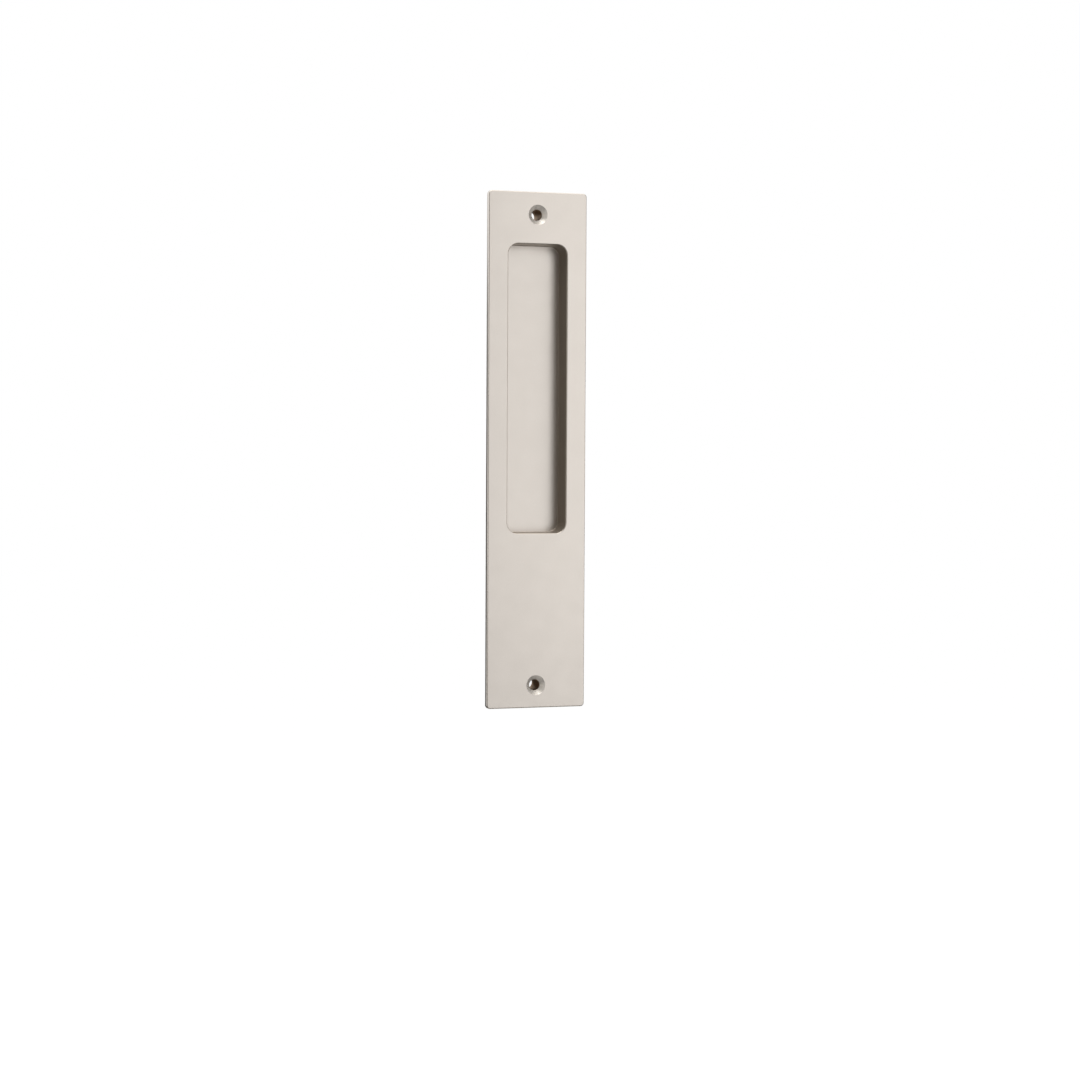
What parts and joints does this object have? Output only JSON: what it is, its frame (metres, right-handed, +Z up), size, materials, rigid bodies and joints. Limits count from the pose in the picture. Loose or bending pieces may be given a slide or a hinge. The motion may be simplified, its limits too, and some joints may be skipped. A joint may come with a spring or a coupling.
{
  "type": "sliding door flush pull",
  "caption": "Tall rectangular flush pull plate for a sliding door, with a closed finger recess and countersunk screw bosses.",
  "frame": {"origin": "centre of the plate's rear face, midway between the two screw holes", "axes": "+Z up along the plate, +Y into the door, the front faces -Y"},
  "size_m": [0.05, 0.014, 0.25],
  "materials": {
    "satin_nickel": "satin"
  },
  "bodies": {
    "root": {"pull_plate": "satin_nickel"}
  },
  "joints": []
}
